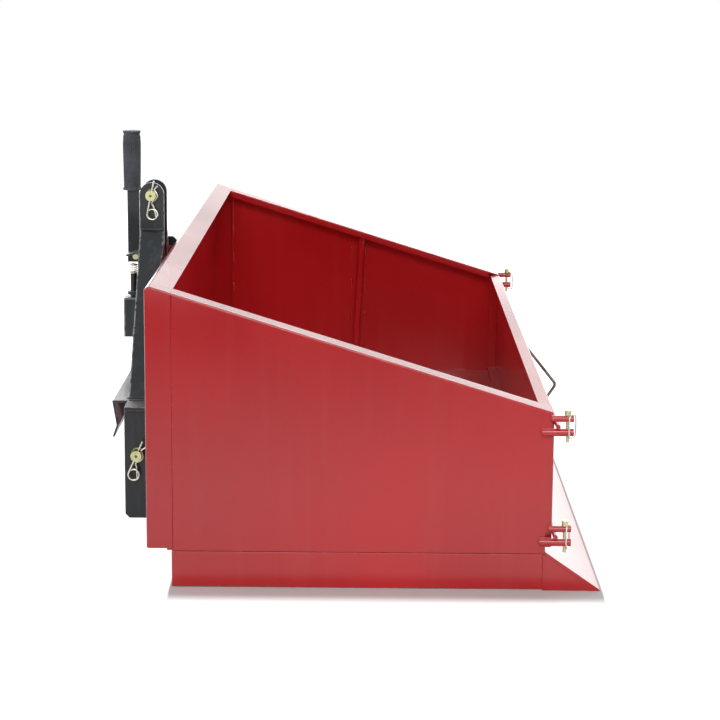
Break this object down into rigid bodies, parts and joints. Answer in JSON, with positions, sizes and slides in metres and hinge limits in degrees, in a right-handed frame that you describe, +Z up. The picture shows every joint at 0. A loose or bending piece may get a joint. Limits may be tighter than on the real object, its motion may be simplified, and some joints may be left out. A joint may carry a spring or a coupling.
{
  "type": "rear tipping transport box for a tractor",
  "caption": "Sheet steel load box for a tractor's rear three-point linkage, with a tipping pivot, a lock lever, a hinged tailgate with lynch pins and a sloping scraper lip",
  "frame": {"origin": "on the ground under the middle of the implement's overall length and width", "axes": "+X rearward away from the tractor, towards the tailgate; +Y to the implement's right; +Z up"},
  "size_m": [0.914, 1.632, 0.703],
  "materials": {
    "red_enamel": "glossy red enamel on folded sheet steel",
    "black_enamel": "satin black enamel on welded steel",
    "yellow_zinc": "yellow passivated zinc plating",
    "bright_zinc": "bright zinc plating",
    "shaft_steel": "drawn steel bar, greased",
    "grip_rubber": "matt ribbed rubber"
  },
  "bodies": {
    "frame": {"clevis_cap_left": "black_enamel", "clevis_cap_right": "black_enamel", "clevis_plates_left": "black_enamel", "clevis_plates_right": "black_enamel", "cross_plate": "black_enamel", "lever_bracket": "black_enamel", "lever_pivot_pin": "yellow_zinc", "lower_link_pin_left": "yellow_zinc", "lower_link_pin_right": "yellow_zinc", "mast_brace": "black_enamel", "mast_leg_left": "black_enamel", "mast_leg_right": "black_enamel", "mast_plate_left": "black_enamel", "mast_plate_right": "black_enamel", "pivot_shaft": "shaft_steel", "return_spring": "bright_zinc", "rod_guide": "black_enamel", "spring_rod": "black_enamel", "tipping_arm_left": "black_enamel", "tipping_arm_right": "black_enamel", "top_link_pin": "yellow_zinc"},
    "box": {"base_skirt_left": "red_enamel", "base_skirt_right": "red_enamel", "floor_panel": "red_enamel", "floor_rib_centre": "red_enamel", "floor_rib_left": "red_enamel", "floor_rib_right": "red_enamel", "front_wall": "red_enamel", "gate_fork_bottom_left": "red_enamel", "gate_fork_bottom_right": "red_enamel", "gate_fork_top_left": "red_enamel", "gate_fork_top_right": "red_enamel", "lip_cheek_left": "red_enamel", "lip_cheek_right": "red_enamel", "lynch_pin_bottom_left": "yellow_zinc", "lynch_pin_bottom_right": "yellow_zinc", "lynch_pin_top_left": "yellow_zinc", "lynch_pin_top_right": "yellow_zinc", "pivot_beam": "red_enamel", "pivot_lugs_left": "red_enamel", "pivot_lugs_right": "red_enamel", "scraper_lip": "red_enamel", "side_panel_left": "red_enamel", "side_panel_right": "red_enamel", "side_stiffener_left": "red_enamel", "side_stiffener_right": "red_enamel", "striker_bar": "red_enamel", "striker_ears": "red_enamel"},
    "tailgate": {"gate_trunnions_bottom": "red_enamel", "gate_trunnions_top": "red_enamel", "tailgate_edge_bottom": "red_enamel", "tailgate_edge_left": "red_enamel", "tailgate_edge_right": "red_enamel", "tailgate_edge_top": "red_enamel", "tailgate_handle": "shaft_steel", "tailgate_panel": "red_enamel"},
    "lever": {"lock_lever": "black_enamel", "lever_grip": "grip_rubber"}
  },
  "joints": [
    {"name": "box_tip", "type": "hinge", "parent": "frame", "child": "box", "pos_m": [0.112, 0, 0.03], "axis": [0, 1, 0], "range_deg": [0, 50]},
    {"name": "tailgate_swing", "type": "hinge", "parent": "box", "child": "tailgate", "pos_m": [0.3773, 0, 0.29], "axis": [0, -1, 0], "range_deg": [0, 100]},
    {"name": "lever_release", "type": "hinge", "parent": "frame", "child": "lever", "pos_m": [-0.431, 0.119, 0.441], "axis": [0, -1, 0], "range_deg": [0, 25], "stiffness_Nm_per_rad": 12, "springref_deg": -11.46}
  ]
}
